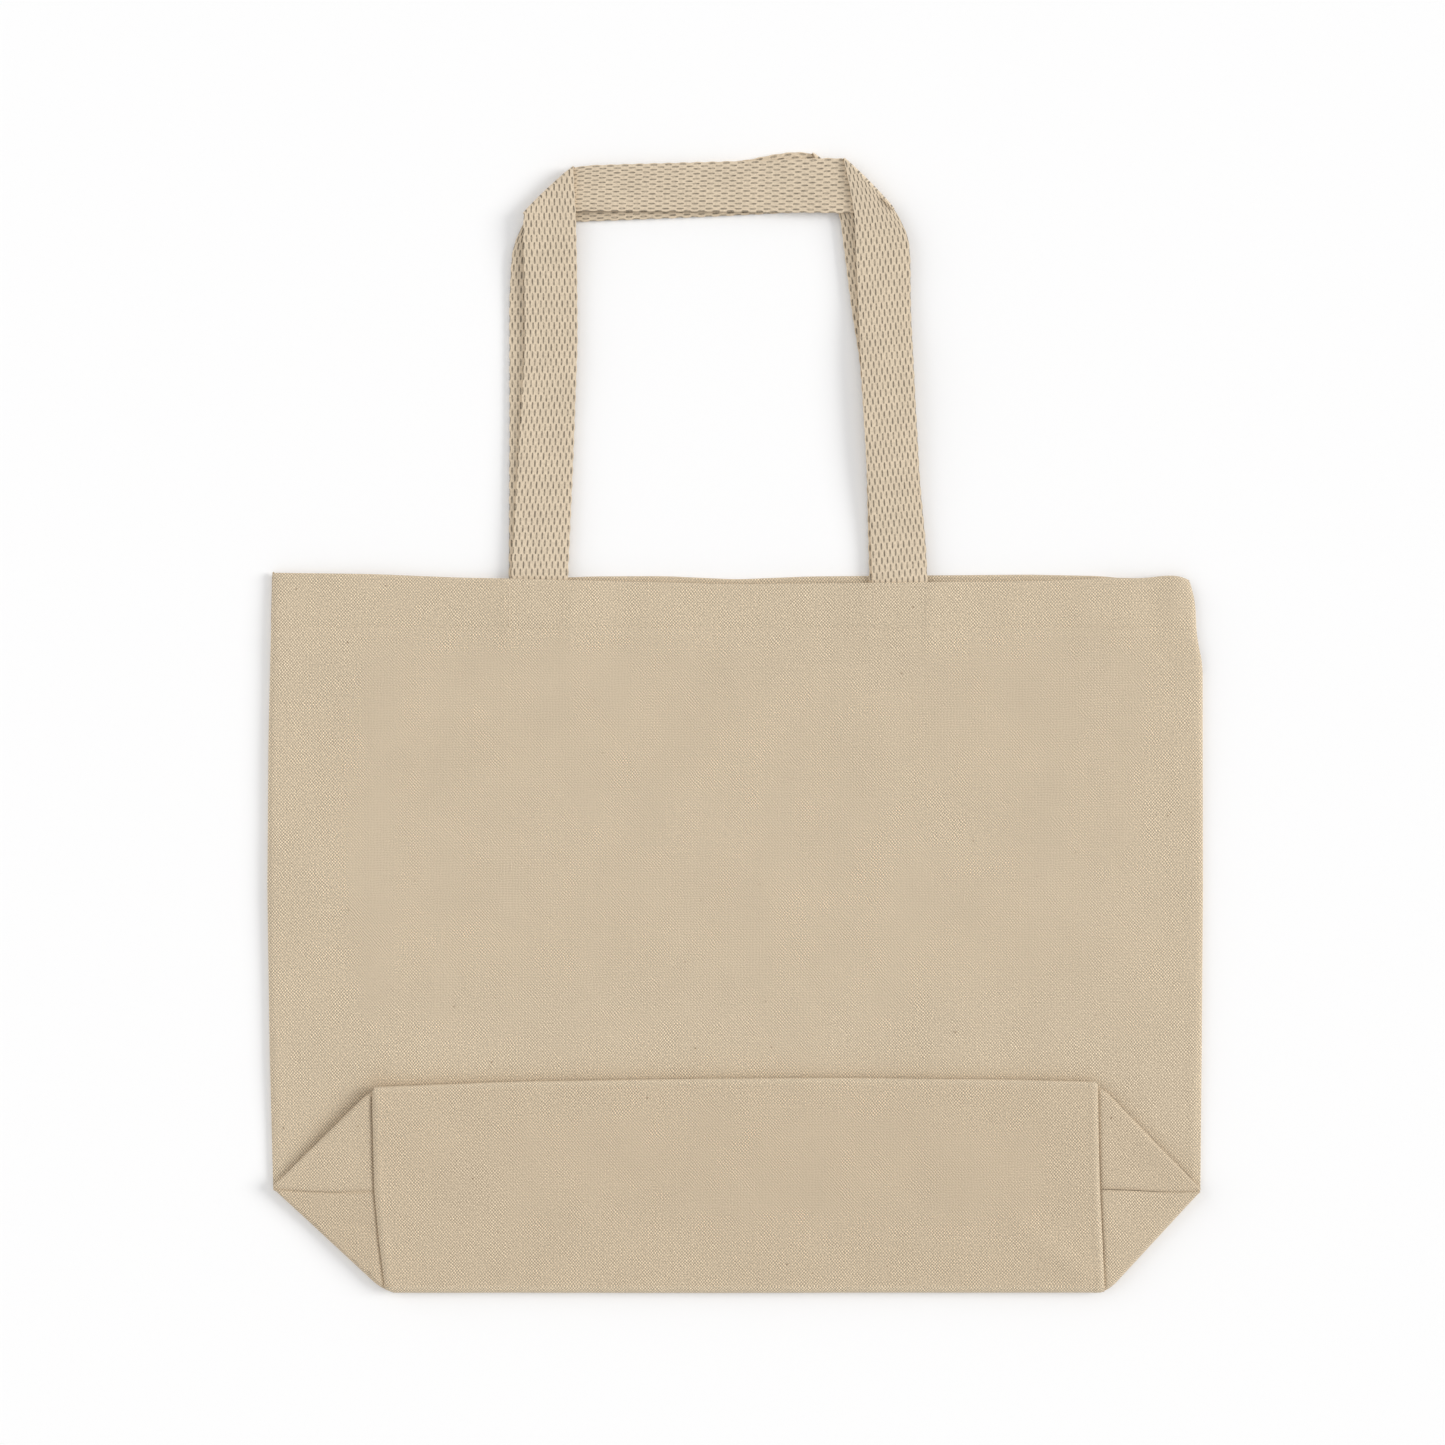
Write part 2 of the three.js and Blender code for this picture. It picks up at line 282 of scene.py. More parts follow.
class Graph:
    """Short names for making the nodes of one material."""

    def __init__(self, name):
        self.material = bpy.data.materials.new(name)
        self.material.use_nodes = True
        self.tree = self.material.node_tree
        self.tree.nodes.clear()
        self.shader = self.new("BsdfPrincipled")
        self.put(self.new("OutputMaterial").inputs[0], self.shader.outputs[0])

    def new(self, kind):
        return self.tree.nodes.new("ShaderNode" + kind)

    def put(self, socket, value):
        if isinstance(value, bpy.types.NodeSocket):
            self.tree.links.new(value, socket)
        else:
            socket.default_value = value

    def math(self, operation, *values):
        node = self.new("Math")
        node.operation = operation
        for socket, value in zip(node.inputs, values):
            self.put(socket, value)
        return node.outputs[0]

    def times(self, *values):
        return self.math("MULTIPLY", *values)

    def ramp(self, value, low, high, out_low=0.0, out_high=1.0):
        node = self.new("MapRange")
        node.interpolation_type = "SMOOTHSTEP"
        for socket, number in zip(node.inputs, (value, low, high, out_low, out_high)):
            self.put(socket, number)
        return node.outputs[0]

    def uv(self):
        node = self.new("UVMap")
        node.uv_map = UV_NAME
        split = self.new("SeparateXYZ")
        self.put(split.inputs[0], node.outputs[0])
        return node.outputs[0], split.outputs[0], split.outputs[1]

    def stretched(self, vector, scale):
        node = self.new("Mapping")
        self.put(node.inputs["Vector"], vector)
        node.inputs["Scale"].default_value = scale
        return node.outputs[0]

    def noise(self, vector, scale, detail=2.0, rough=0.5):
        node = self.new("TexNoise")
        for key, value in (("Vector", vector), ("Scale", scale), ("Detail", detail), ("Roughness", rough)):
            self.put(node.inputs[key], value)
        return node.outputs[0]

    def tone_mark(self):
        node = self.new("Attribute")
        node.attribute_name = TONE_MARK_NAME
        return node.outputs["Fac"]

    def mixed(self, factor, a, b, blend="MIX"):
        node = self.new("Mix")
        node.data_type = "RGBA"
        node.blend_type = blend
        for key, value in (("Factor", factor), ("A", a), ("B", b)):
            self.put(node.inputs[key], value)
        return node.outputs["Result"]

    def scaled_colour(self, colour, factor):
        return self.mixed(1.0, colour, factor, "MULTIPLY")

    def bump(self, height, distance, strength=1.0):
        node = self.new("Bump")
        node.inputs["Strength"].default_value = strength
        node.inputs["Distance"].default_value = distance
        self.put(node.inputs["Height"], height)
        self.put(self.shader.inputs["Normal"], node.outputs[0])


def fabric_shader(graph, roughness, sheen):
    graph.shader.inputs["Roughness"].default_value = roughness
    graph.shader.inputs["Specular IOR Level"].default_value = 0.25
    graph.shader.inputs["Sheen Weight"].default_value = sheen
    graph.shader.inputs["Sheen Roughness"].default_value = 0.5
    graph.shader.inputs["Sheen Tint"].default_value = (1.0, 0.96, 0.9, 1)


def canvas_material():
    """Plain weave with threads just under a millimetre apart, with slubs, mottling and dark specks."""
    g = Graph("natural_canvas")
    fabric_shader(g, 0.92, 0.12)
    uv, u, v = g.uv()
    wander = g.times(g.math("SUBTRACT", g.noise(uv, 200, 3), 0.5), 1.6)
    across = g.math("ADD", g.math("DIVIDE", u, THREAD_X * MM), wander)
    along = g.math("ADD", g.math("DIVIDE", v, THREAD_Y * MM), wander)
    cu = g.math("COSINE", g.times(across, math.pi))
    cv = g.math("COSINE", g.times(along, math.pi))
    au, av = g.math("ABSOLUTE", cu), g.math("ABSOLUTE", cv)
    warp = g.times(g.math("POWER", au, 1.3), g.math("POWER", av, 0.45))
    weft = g.times(g.math("POWER", au, 0.45), g.math("POWER", av, 1.3))
    over = g.math("GREATER_THAN", g.times(cu, cv), 0.0)
    under = g.math("SUBTRACT", 1.0, over)
    weave = g.math("ADD", g.times(warp, over), g.times(weft, under))
    checks = g.times(cu, cv)
    patch = g.ramp(g.noise(uv, 95, 2), 0.32, 0.68, 0.6, 1.3)

    slub_u = g.ramp(g.noise(g.stretched(uv, (55, 900, 1)), 1.0, 1), 0.62, 0.78)
    slub_v = g.ramp(g.noise(g.stretched(uv, (900, 55, 1)), 1.0, 1), 0.62, 0.78)
    slubs = g.math("ADD", slub_u, slub_v)
    fine = g.noise(uv, 1100, 3, 0.7)
    soft = g.noise(uv, 26, 3, 0.55)

    tone = g.math("ADD", 1.0, g.times(g.times(checks, patch), 0.46))
    tone = g.times(tone, g.ramp(weave, 0.0, 0.9, 0.86, 1.03))
    tone = g.times(tone, g.ramp(fine, 0.2, 0.8, 0.66, 1.34))
    tone = g.times(tone, g.ramp(soft, 0.3, 0.7, 0.985, 1.015))
    tone = g.math("ADD", tone, g.times(slubs, 0.05))
    cells = g.new("TexVoronoi")
    g.put(cells.inputs["Vector"], uv)
    cells.inputs["Scale"].default_value = 70
    chosen = g.math("GREATER_THAN", g.math("FRACT", g.times(cells.outputs["Color"], 7.0)), 0.2)
    speck = g.times(g.ramp(cells.outputs["Distance"], 0.02, 0.055, 1.0, 0.0), chosen)
    base = g.mixed(g.times(speck, 0.7), (0.686, 0.566, 0.411, 1), (0.22, 0.13, 0.07, 1))
    # Painted shade and painted highlight from the mark attribute scale the cloth's colour here.
    tone_mark = g.tone_mark()
    painted_shade_tint = g.new("CombineColor")  # painted shade is also a little warmer, as painted warm light bounced off the canvas, and painted highlight a little cooler
    for socket, share in zip(painted_shade_tint.inputs, (0.80, 1.05, 1.30)):
        g.put(socket, g.math("ADD", 1.0, g.times(tone_mark, share)))
    g.put(g.shader.inputs["Base Color"], g.scaled_colour(g.scaled_colour(base, painted_shade_tint.outputs[0]), tone))
    height = g.math("ADD", weave, g.times(slubs, 0.5))
    height = g.math("ADD", height, g.times(fine, 0.35))
    g.bump(height, 0.16 * MM)
    return g.material


def webbing_material():
    """Thick cotton webbing: ribs that part round rows of short dark gaps, each row half a rib along."""
    g = Graph("cotton_webbing")
    fabric_shader(g, 0.95, 0.15)
    uv, u, v = g.uv()
    across = g.math("DIVIDE", u, WEAVE_WIDTH * MM)
    along = g.math("DIVIDE", v, WEAVE_LENGTH / 2 * MM)
    course = g.math("FLOOR", along)
    offset = g.times(g.math("MODULO", g.math("ABSOLUTE", course), 2.0), 0.5)
    cell_u = g.math("SUBTRACT", g.math("FRACT", g.math("ADD", across, g.math("ADD", offset, 100.0))), 0.5)
    cell_v = g.math("SUBTRACT", g.math("FRACT", along), 0.5)
    du = g.math("POWER", g.math("ABSOLUTE", g.math("DIVIDE", cell_u, 0.125)), 2.0)
    dv = g.math("POWER", g.math("ABSOLUTE", g.math("DIVIDE", cell_v, 0.47)), 4.0)
    hole = g.ramp(g.math("ADD", du, dv), 0.3, 1.8, 1.0, 0.0)
    yarn = g.noise(g.stretched(uv, (1500, 600, 1)), 1.0, 3, 0.7)
    soft = g.noise(uv, 60, 2)
    uneven = g.ramp(g.noise(uv, 420, 2), 0.3, 0.7, 0.45, 1.15)
    tone_mark = g.tone_mark()
    shallow = g.ramp(tone_mark, 0.0, 1.0, 1.0, 0.72)
    depth = g.times(g.times(hole, uneven), shallow)
    tone = g.ramp(depth, 0.0, 1.0, 1.03, 0.36)
    tone = g.times(tone, g.ramp(tone_mark, 0.0, 1.0, 1.0, 0.975))
    tone = g.times(tone, g.ramp(yarn, 0.25, 0.75, 0.84, 1.16))
    tone = g.times(tone, g.ramp(soft, 0.3, 0.7, 0.97, 1.03))
    g.put(g.shader.inputs["Base Color"], g.scaled_colour((0.697, 0.578, 0.430, 1), tone))
    rib = g.math("SUBTRACT", 1.0, hole)
    height = g.math("ADD", rib, g.times(yarn, 0.2))
    g.bump(height, 0.45 * MM)
    return g.material


def thread_material():
    g = Graph("sewing_thread")
    fabric_shader(g, 0.75, 0.1)
    uv, u, v = g.uv()
    twist = g.math("SINE", g.times(g.math("ADD", u, v), 9000.0))
    tone = g.ramp(twist, -1.0, 1.0, 0.88, 1.05)
    g.put(g.shader.inputs["Base Color"], g.scaled_colour((0.72, 0.60, 0.45, 1), tone))
    g.bump(twist, 0.05 * MM)
    return g.material


CANVAS = canvas_material()
WEBBING = webbing_material()
THREAD = thread_material()


# ---- heights of the cloth

HANDLE_X = (-107.5, 88.5)  # where the sewn handle ends lie under the front
LIFT = 2.6  # how far the flap's upper edge is raised over its lower one
TURN = 0.9  # how far a turned edge of cloth bulges


def front_height(x, y):
    """Upper face of the front: lifted over the handle ends, low at the sides, gently uneven."""
    free = ease(70, 135, y)
    near_mouth = ease(325, 368, y)
    over_handle = sum(ease(-46, -14, x - at) * (1 - ease(14, 46, x - at)) for at in HANDLE_X)
    lying = 1 - near_mouth * np.clip(over_handle * 1.4, 0, 1)
    z = FRONT_Z + 1.7 * free + 0.4 * ease(130, 300, y)
    z = z + free * lying * (0.30 * waves(x, y, 150, 3) + 0.12 * waves(x, y, 48, 4))
    z = z + 1.6 * near_mouth * over_handle
    z = z + 0.45 * near_mouth * lying * waves(x, y * 0.35, 62, 7)
    near_box = ease(340, 358, y) * (1 - ease(378, 388, y))
    for at in HANDLE_X:
        for sign in (-1, 1):  # a faint pucker along each edge of a sewn handle end
            beside = x - at - WEB_WIDTH / 2 * sign - 3 * sign
            lean = (y - 372) * 0.10 * sign
            z = z + 0.40 * bell(beside, lean, 3.0) * near_box
    z = z - 0.36 * bell(y, STITCH_Y, 1.8) + 0.15 * ease(STITCH_Y - 8, STITCH_Y - 4, y)
    # A hollow and a ridge run down from the rounded corner of the mouth, and a short crease lies under it.
    z = z - 0.9 * bell(x, 227, 8) * ease(345, 378, y) + 0.7 * bell(x, 239, 6) * ease(350, 376, y)
    crease = (x - 232) * 0.81 + (y - 348) * 0.59
    z = z - 0.5 * bell(crease, 0, 2.2) * bell((x - 232) * 0.59 - (y - 348) * 0.81, 0, 10)
    side = np.minimum(x - LEFT_EDGE(y), RIGHT_EDGE(y) - x)
    ridge = 0.35 * bell(side, 4.5, 2.2) * ease(50, 60, y) * (1 - ease(130, 150, y))
    return z + ridge - 0.7 * (1 - ease(0, 60, side)) * (1 - 0.8 * ease(335, 360, y))


def lift(y):
    return LIFT * y / GUSSET


def base_height(x, y):
    """Upper face of the flap: raised at its upper left, low at its edges, with one long soft crease."""
    z = FLAP_Z + lift(y) + 0.25 * waves(x, y, 120, 11) + 0.10 * waves(x, y, 40, 12)
    z = z + 1.6 * (1 - ease(-195, -120, x)) * ease(40, 117, y)
    z = z - 0.8 * bell(y, 0, 16)
    seam = np.minimum(x - CORNER_SEAM["left"](y), CORNER_SEAM["right"](y) - x)
    z = z + 0.40 * bell(seam, 3, 1.8) - 1.25 * (1 - ease(-0.5, 1.6, seam))
    z = z + 0.5 * bell(y, 104, 3) * bell(x, CORNER_SEAM["left"](y) + 3, 5)
    crease = (x - 195) * 0.64 + (y - 5) * 0.77  # from the right end of the fold, up and to the left
    along = (195 - x) * 0.77 + (y - 5) * 0.64
    return z + 1.15 * bell(crease, 0, 7.5) * ease(0, 10, along) * (1 - ease(45, 85, along))


def fold_height(y):
    """Lower, outer face of the strip under the flap."""
    return STRIP_Z + LIFT * (y - HALF_GUSSET) / HALF_GUSSET


def gusset_height(word, side, x, y):
    """Upper face of the corner triangles, tucked under the flap at the corner seam."""
    u = side * (x - CORNER_SEAM[word](y))  # how far outside the corner seam
    fall = 0.040 + 0.012 * (1 - ease(30, 55, y)) if side < 0 else 0.022
    z = CORNER_Z + lift(y) + 1.0 * ease(-1.0, 2.4, u) - fall * np.maximum(u, 0)
    if side > 0:
        z = z + 0.016 * np.maximum(y - 57, 0)
    inside = np.minimum(114 - y, y) - u  # 0 on the diagonal folds
    z = z + 0.45 * waves(x, y, 46, 21 if side < 0 else 25) * ease(0, 10, u) * ease(2, 16, inside)
    z = z + 1.2 * (1 - ease(-195, -120, x)) * ease(60, 117, y) * (side < 0)
    if side < 0:
        z = z + 0.6 * bell(y, 104, 3) * bell(u, 2, 6)
        z = z - 0.55 * bell(y - 36, 0.12 * u, 2.0) * ease(0, 4, u) * (1 - ease(14, 26, u))
    else:
        z = z + 0.35 * np.sin((y - 0.5 * u) / 2.3) * bell(u, 50, 8) * bell(y, 54, 10)
    seam_y = SIDE_SEAM_Y[word](x)
    groove = (0.75 if side < 0 else 0.55) * (1 - 0.5 * ease(40, 54, u))
    z = z + 0.3 * ease(-0.8, 0.8, y - seam_y) * ease(-1, 4, u)
    return z - groove * bell(y, seam_y, 1.3) * ease(-1, 4, u) + 0.25 * bell(y, seam_y, 6)


# ---- front and back

INNER = PIVOT_X - 10  # where the middle sheets end and the side strips begin
BEND = (PIVOT_X - 5, PIVOT_X + 5)  # either side of the pivot line, where a side strip bends on the real bag; the sheets are not bent here
FRONT_FOOT = HALF_GUSSET + 5.5
SIDE_FOOT = HALF_GUSSET - 2.6
FLAP_FOOT = 4.2  # where the back's sheet ends on the flap and the base's begins
STRIP_LENGTH = 60  # of the strip under the flap and its crease, along the cloth
MOUTH_Y = 388  # roughly, for placing the columns of a sheet
MOUTH_INSET = 0.5  # how far a sheet's edge draws in where it turns at the mouth
HEM_INSET = 1.2  # and along the hem
FRONT_CURL = 4.5  # how far in from the side seam the front starts to come down to it
INNER_CURL = 2.4  # the same for the hems and the back
HEM_DROP = 1.7  # from the front's upper face to its hem's


def middle_columns():
    """x of the middle sheets' columns, the same at every y."""
    xs = steps(-INNER, INNER, 2.2)
    return lambda y, inset: xs


def side_columns(word, side):
    """x of a side strip's columns, closer together at its edge, as a function of y."""
    rim = 0.94 + 0.06 * np.sin(np.radians(np.linspace(11, 90, 8)))
    share = np.concatenate([steps(0, 0.94, 0.037), rim])
    share = share if side > 0 else share[::-1]
    return lambda y, inset: side * (INNER + share * (side * EDGE[word](y) - inset - INNER))


def curled(x, y, z, z_seam, reach, inset=0.0):
    """Brings a height over to the side seam's height at the bag's edge."""
    inside = np.minimum(x - LEFT_EDGE(y), RIGHT_EDGE(y) - x) - inset
    t = np.clip(1 - inside / reach, 0, 1)
    return z_seam + (z - z_seam) * np.sqrt(np.maximum(0, 1 - t * t))


def folded_rows(xs):
    """The strip under the flap and the crease where it turns back on to the front."""
    ys = steps(112, HALF_GUSSET + 0.4, 2.6)
    rows = [row(xs, y, fold_height(y) + 0.75 * ease(98, 106, y)) for y in ys]
    rows += turn(xs, HALF_GUSSET + 0.25, -1, 0.15, fold_height(HALF_GUSSET), 3.65, 7)[1:]
    return rows + [row(xs, y, FRONT_Z) for y in steps(HALF_GUSSET + 1.2, FRONT_FOOT - 1.2, 1.4)]


def front_grid(x_at, foot):
    """The front from its foot up to the mouth, over it, and down inside to the hem's edge.

    The middle sheet starts with the strip under the flap.
    """
    rows = folded_rows(x_at(foot, 0)) if foot == FRONT_FOOT else []
    shares = np.concatenate([steps(0, 0.8, 0.0075), steps(0.8, 1, 0.004)[1:]])
    for share in shares:
        x = x_at(foot + share * (MOUTH_Y - foot), 0)
        top = FRONT_MOUTH(x) - TURN
        y = foot + share * (top - foot)
        rows.append(row(x, y, curled(x, y, front_height(x, y), Z_SEAM, FRONT_CURL)))
    x = x_at(MOUTH_Y + 1, MOUTH_INSET)
    mouth = FRONT_MOUTH(x)
    z = front_height(x, mouth - TURN)
    high = curled(x, mouth, z, Z_SEAM, FRONT_CURL, MOUTH_INSET)
    low = curled(x, mouth, z - HEM_DROP, Z_SEAM + 0.2, INNER_CURL, MOUTH_INSET)
    rows += turn(x, mouth, 1, TURN, high, low)[1:-1]
    for depth in steps(0, HEM_DEPTH, 2.4):
        x = x_at(MOUTH_Y - depth, HEM_INSET)
        y = FRONT_MOUTH(x) - TURN - depth
        z = front_height(x, y) - HEM_DROP
        rows.append(row(x, y, curled(x, y, z, Z_SEAM + 0.2, INNER_CURL, HEM_INSET)))
    return np.stack(rows)


def back_rows(x_at, foot):
    """The back's hem, its mouth, and its face against the floor down to the foot."""
    rows = []
    seam = Z_SEAM - 0.1
    for depth in steps(HEM_DEPTH, 0, 3.0):
        x = x_at(MOUTH_Y - depth, HEM_INSET)
        y = BACK_MOUTH(x) - TURN - depth
        rows.append(row(x, y, curled(x, y, BACK_HEM_Z + 0 * x, seam, INNER_CURL, HEM_INSET)))
    x = x_at(MOUTH_Y + 1, MOUTH_INSET)
    mouth = BACK_MOUTH(x)
    high = curled(x, mouth, BACK_HEM_Z + 0 * x, seam, INNER_CURL, MOUTH_INSET)
    low = curled(x, mouth, BACK_Z + 0 * x, seam, INNER_CURL, MOUTH_INSET)
    rows += turn(x, mouth, 1, TURN, high, low)[1:-1]
    rough_foot = foot(x_at(100, 0))  # near enough to find the x of a column, and from that its true foot
    for share in steps(1, 0, 0.011):
        x = x_at(rough_foot + share * (MOUTH_Y - 1 - rough_foot), 0)
        y = foot(x) + share * (BACK_MOUTH(x) - TURN - foot(x))
        rows.append(row(x, y, curled(x, y, BACK_Z + 0 * x, seam, INNER_CURL)))
    return rows


def canvas_sheet(name, grid, nodes, start=0.0, from_end=False,
                 tone_mark=None):
    """A sheet of canvas, with the frame's parts that it stands for hidden."""
    piece = sheet(name, grid, rolled_uv(grid, start, from_end), CANVAS, tone_mark=tone_mark)
    if nodes:
        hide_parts(*nodes)
    return piece


def front_painted_shade(grid):
    """Painted soft shade on the front along the flap, deepest by its left corner, where the raised flap's
    shadow falls.
    """
    x, y = grid[..., 0], grid[..., 1]
    above = bell(y - FLAP_TOP(x), 0, 5) * ease(-198, -190, x) * (1 - ease(190, 198, x))
    beside = bell(((y - 113) - (x + 197)) / 1.41, 0, 6) * (1 - ease(-200, -186, x)) * ease(-252, -225, x)
    return -0.035 * above - 0.10 * beside - 0.03 * above * (1 - ease(-195, -60, x))


def front_pieces():
    """The middle of the front with the strip under the flap, and the side strips."""
    grid = front_grid(middle_columns(), FRONT_FOOT)
    piece = canvas_sheet("front_cloth", grid,
                         ["front_panel", "front_hem", "front_fold"],
                         FRONT_FOOT - STRIP_LENGTH, tone_mark=front_painted_shade(grid))
    lean = 0.035  # the plane where the strip turns into the front leans, because the strip rises with y
    start, end = 3.95 - lean * HALF_GUSSET, 3.65 - lean * HALF_GUSSET
    blend_along(piece, "front_fold", "front", (0, -lean, 1), start, end)
    for word, side in SIDES:
        grid = front_grid(side_columns(word, side), SIDE_FOOT)
        piece = canvas_sheet(f"front_side_cloth_{word}", grid,
                             [f"front_side_{word}", f"front_hem_{word}"],
                             SIDE_FOOT, tone_mark=front_painted_shade(grid))
        blend_along(piece, "front", f"front_side_{word}", (side, 0, 0), *BEND)


def back_pieces():
    """The middle of the back, which runs round the bottom fold on to the flap, and the side strips."""
    reach = 3.4  # how far the bottom fold bulges
    flare = 8.0  # the middle widens from here down to the fold
    xs = middle_columns()(0, 0)
    rows = back_rows(middle_columns(), lambda x: flare + 0 * x)
    left, right = CORNER_SEAM["left"](2.0), CORNER_SEAM["right"](2.0)
    wide = left + (xs + INNER) / (2 * INNER) * (right - left)
    for y in steps(flare, reach, 1.6)[1:-1]:
        mixed = xs + (wide - xs) * (flare - y) / (flare - reach)
        rows.append(row(mixed, y, BACK_Z))
    top = base_height(wide, reach)
    rounded = 1.6 * (1 - ease(0, 5, wide - left)) + 0.4 * (1 - ease(0, 3, right - wide))
    edge = 0.15 * waves(wide, 0 * wide, 160, 31) + rounded
    rows += turn(wide, edge, -1, reach, BACK_Z + 0 * wide, top, 15)
    rows.append(row(wide, FLAP_FOOT, base_height(wide, FLAP_FOOT)))
    piece = canvas_sheet("back_cloth", np.stack(rows),
                         ["back_panel", "back_hem"], 0.0)
    blend_along(piece, "back", "base", (0, 0, 1), 2.2, 5.5)
    for word, side in SIDES:
        low = smooth_line([(INNER - 5, flare), (PIVOT_X + 2, flare + 0.5), (HALF, TIP[word][1] + flare)])
        rows = back_rows(side_columns(word, side), lambda x: low(side * x))
        piece = canvas_sheet(f"back_side_cloth_{word}", np.stack(rows),
                             [f"back_side_{word}", f"back_hem_{word}"], 0.0)
        blend_along(piece, "back", f"back_side_{word}", (side, 0, 0), *BEND)
        side_allowances(word, side)


SIDE_ALLOWANCE = 14  # width of the loose cloth inside a side seam
FAR = 80  # a point this many slides away is worked out for each allowance, but nothing uses it


def side_allowances(word, side):
    """The loose cloth inside a side seam, as it lies in the flat bag."""
    share = steps(0, 1, 0.1)
    share = 1 - share if side > 0 else share
    for part, ys, slide in (("allowance", steps(66, 384, 4), (12, 0)),
                            ("tip", steps(58.5, 76, 2), (11, -10))):
        rows = []
        for y in ys:
            x = side * (side * EDGE[word](y) - 2.4 - SIDE_ALLOWANCE * share)
            rows.append(row(x, y, 1.95 + 0.5 * ease(75, 105, y) + 0.1 * ease(350, 356, y)))
        grid = np.stack(rows)
        nodes = [f"side_seam_{word}"] if part == "allowance" else []
        piece = canvas_sheet(f"side_seam_{word}_{part}", grid, nodes)
        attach(piece, f"back_side_{word}")
        far = FAR * np.array([side * slide[0], slide[1], 0.0])
        middle = grid.reshape(-1, 3).mean(axis=0)
        place(*(middle + far))
        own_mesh(piece)


# ---- base, fold and corners


def flap():
    """The base folded up over the front, and its upper fold."""
    share = np.concatenate([steps(0, 0.03, 0.003)[:-1], steps(0.03, 0.97, 0.0058),
                            steps(0.97, 1, 0.003)[1:]])

    def x_at(y):
        left, right = CORNER_SEAM["left"](y), CORNER_SEAM["right"](y)
        return left + share * (right - left)

    reach = 1.7  # how far the upper fold bulges
    rows = []
    for part in steps(0, 1, 0.019):
        x = x_at(FLAP_FOOT + part * 110)
        y = FLAP_FOOT + part * (FLAP_TOP(x) - reach - FLAP_FOOT)
        rows.append(row(x, y, base_height(x, y)))
    x = x_at(115) * (1 - 0.004)  # the fold draws in a little at its ends
    edge = FLAP_TOP(x)
    under = fold_height(edge - reach)
    rows += turn(x, edge, 1, reach, base_height(x, edge - reach), under, 13)[1:]
    for depth in steps(0, 8, 2)[1:]:
        y = edge - reach - depth
        rows.append(row(x, y, fold_height(y)))
    grid = np.stack(rows)
    x, y = grid[..., 0], grid[..., 1]
    # Painted highlights along the flap's upper fold (partly also the paler cloth of a rubbed crease) and
    # along its right edge, and painted shade that darkens the whole flap a little.
    tone_mark = 0.07 * bell(y - FLAP_TOP(x), -0.6, 1.2) + 0.06 * bell(CORNER_SEAM["right"](y) - x, 1.2, 1.0)
    piece = canvas_sheet("base_cloth", grid, ["base_panel"],
                         FLAP_FOOT, tone_mark=tone_mark - 0.045)
    blend_along(piece, "base", "front_fold", (0, -0.06, 1), 2.3, 0.6)


STRIP_EDGE = 197  # how far out the strip under the flap and the corner seam's allowance reach


def strip_end(word, side):
    """The end of the strip under the flap, by the corner."""
    xs = steps(185, STRIP_EDGE + 0.5, 1.5) * side
    xs = xs if side > 0 else xs[::-1]
    rows = [row(xs, y, fold_height(y) + 0.1) for y in steps(110, HALF_GUSSET + 0.6, 4)]
    piece = canvas_sheet(f"folded_strip_end_{word}", np.stack(rows), [])
    blend_along(piece, "front_fold", f"front_fold_corner_{word}", (side, 0, 0), 190.5, STRIP_EDGE)


def corner_allowance(word, side):
    """The loose cloth of a corner seam, from inside the seam to just past it."""
    share = steps(0, 1, 0.2)
    share = share if side > 0 else share[::-1]
    rows = []
    for y in steps(5, 108, 3):
        seam = side * CORNER_SEAM[word](y)
        inner, outer = seam - 7, max(seam + 1.0, min(STRIP_EDGE, seam - 3 + y))
        x = side * (inner + (outer - inner) * share)
        rows.append(row(x, y, 5.05 + lift(y) + 0.2 * ease(60, 110, y)))
    piece = canvas_sheet(f"corner_seam_{word}_allowance", np.stack(rows),
                         [f"corner_seam_{word}"])
    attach(piece, "base")


def base_pieces():
    flap()
    for word, side in SIDES:
        strip_end(word, side)
        corner_allowance(word, side)


def outward(x, y, up):
    """Unit vectors square to an edge given by points, pointing to larger y where up is 1."""
    dx, dy = np.gradient(x), np.gradient(y)
    length = np.hypot(dx, dy)
    nx, ny = -dy / length, dx / length
    flip = np.where(ny * up > 0, 1.0, -1.0)
    return nx * flip, ny * flip


